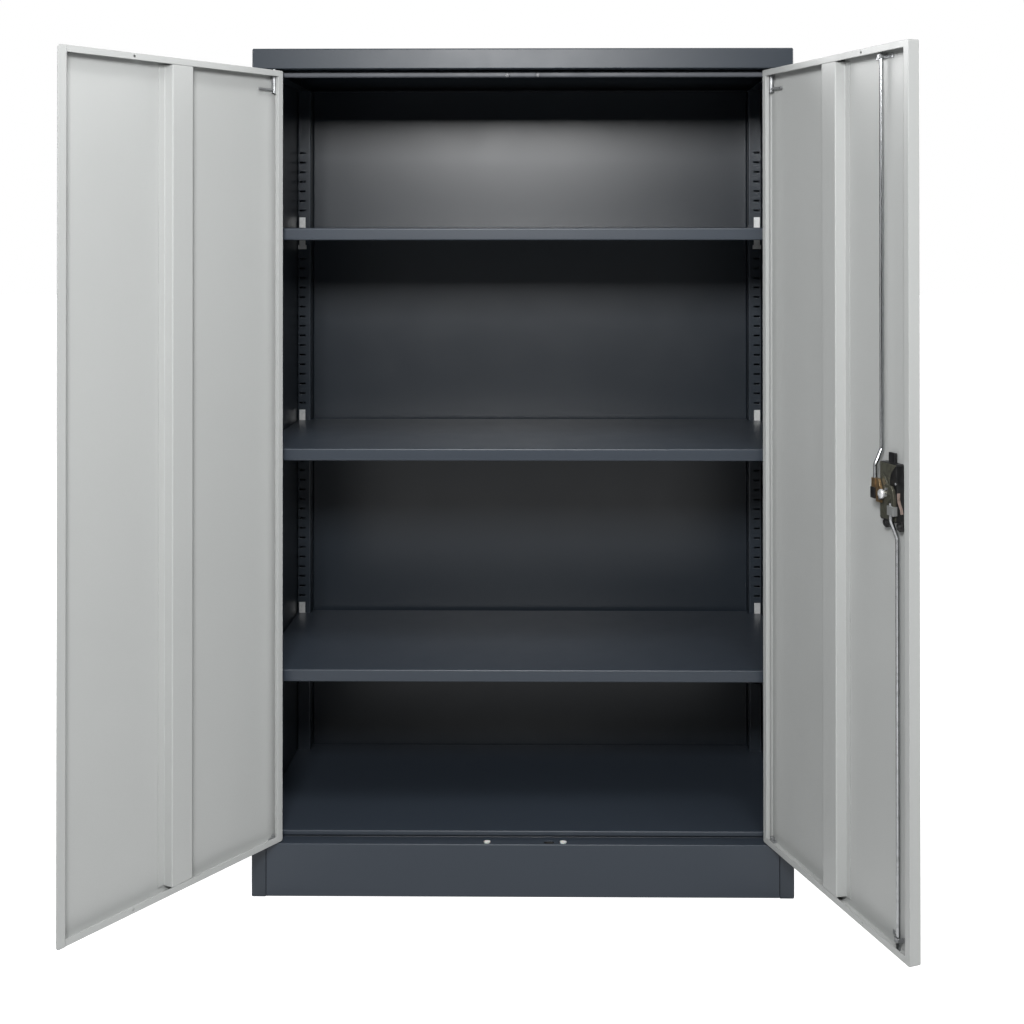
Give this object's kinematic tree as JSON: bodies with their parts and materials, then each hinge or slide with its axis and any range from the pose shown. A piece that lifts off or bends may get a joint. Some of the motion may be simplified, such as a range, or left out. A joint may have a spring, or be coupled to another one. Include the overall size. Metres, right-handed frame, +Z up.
{
  "type": "tool cabinet with doors",
  "caption": "Upright steel tool cabinet with two pan doors hung on pivot pins, adjustable shelves on clips and a rod lock worked by a turn handle.",
  "frame": {"origin": "on the floor, at the middle of the cabinet's front plane", "axes": "+Z up, +X to the viewer's right from the front, +Y to the back"},
  "size_m": [1.2242, 0.8054, 1.408],
  "materials": {
    "body_paint": "gloss powder coat",
    "lip_paint": "gloss powder coat",
    "door_paint": "satin powder coat",
    "zinc": "bright zinc plate",
    "chrome": "polished",
    "brass": "satin",
    "bronze_steel": "yellow passivated",
    "black_plastic": "matte",
    "white_plastic": "semi gloss"
  },
  "bodies": {
    "cabinet": {"top_cap": "body_paint", "header_rail": "lip_paint", "plinth": "body_paint", "floor_pan": "body_paint", "back_panel": "body_paint", "pivot_pins": "zinc", "pivot_washers": "white_plastic", "header_buffers": "white_plastic", "floor_pads": "white_plastic", "side_panel_left": "body_paint", "side_panel_right": "body_paint", "front_post_left": "body_paint", "front_post_right": "body_paint", "rear_post_left": "body_paint", "rear_post_right": "body_paint", "shelf_lower": "body_paint", "shelf_middle": "body_paint", "shelf_upper": "body_paint", "shelf_clips_lower": "zinc", "shelf_clips_middle": "zinc", "shelf_clips_upper": "zinc"},
    "left_door": {"left_door_pan": "door_paint", "left_door_stiffener": "door_paint", "left_pin_sleeve": "zinc", "left_sleeve_bracket": "zinc", "left_pivot_plate": "zinc", "left_overlap_strip": "door_paint"},
    "left_pin": {"left_hinge_pin": "zinc"},
    "right_door": {"right_door_pan": "door_paint", "right_door_stiffener": "door_paint", "right_pin_sleeve": "zinc", "right_sleeve_bracket": "zinc", "right_pivot_plate": "zinc", "lock_housing": "black_plastic", "lock_plate": "bronze_steel", "lock_escutcheon": "black_plastic", "rod_guide_top": "zinc", "rod_guide_bottom": "zinc"},
    "right_pin": {"right_hinge_pin": "zinc"},
    "turn_handle": {"turn_handle": "black_plastic", "lock_spindle": "zinc", "lock_cam": "bronze_steel", "cam_studs": "zinc", "cam_screw": "chrome"},
    "key_cylinder": {"key_cylinder": "chrome"},
    "upper_rod": {"upper_rod": "zinc", "upper_yoke": "brass", "upper_clip": "black_plastic"},
    "lower_rod": {"lower_rod": "zinc", "lower_yoke": "bronze_steel"}
  },
  "joints": [
    {"name": "left_door_swing", "type": "hinge", "parent": "cabinet", "child": "left_door", "pos_m": [-0.4142, 0.006, 0.7], "axis": [0, 0, -1], "range_deg": [-124.5, 1.5]},
    {"name": "right_door_swing", "type": "hinge", "parent": "cabinet", "child": "right_door", "pos_m": [0.4142, 0.006, 0.7], "axis": [0, 0, 1], "range_deg": [-110.5, 15.5]},
    {"name": "left_pin_pull", "type": "slide", "parent": "left_door", "child": "left_pin", "axis": [0, 0, -1], "range_m": [0, 0.0125], "stiffness_N_per_m": 800},
    {"name": "right_pin_pull", "type": "slide", "parent": "right_door", "child": "right_pin", "axis": [0, 0, -1], "range_m": [0, 0.0125], "stiffness_N_per_m": 800},
    {"name": "handle_turn", "type": "hinge", "parent": "right_door", "child": "turn_handle", "pos_m": [0.53733, -0.32333, 0.732], "axis": [0.9367, 0.3502, 0], "range_deg": [0, 90]},
    {"name": "key_turn", "type": "hinge", "parent": "turn_handle", "child": "key_cylinder", "pos_m": [0.53733, -0.32333, 0.732], "axis": [0.9367, 0.3502, 0], "range_deg": [0, 90]},
    {"name": "upper_rod_slide", "type": "slide", "parent": "right_door", "child": "upper_rod", "axis": [0, 0, 1], "range_m": [0, 0.016]},
    {"name": "lower_rod_slide", "type": "slide", "parent": "right_door", "child": "lower_rod", "axis": [0, 0, -1], "range_m": [0, 0.016]}
  ],
  "couplings": [
    {"joint": "upper_rod_slide", "follows": "handle_turn", "m_per_rad": 0.009903},
    {"joint": "lower_rod_slide", "follows": "handle_turn", "m_per_rad": 0.009903}
  ]
}
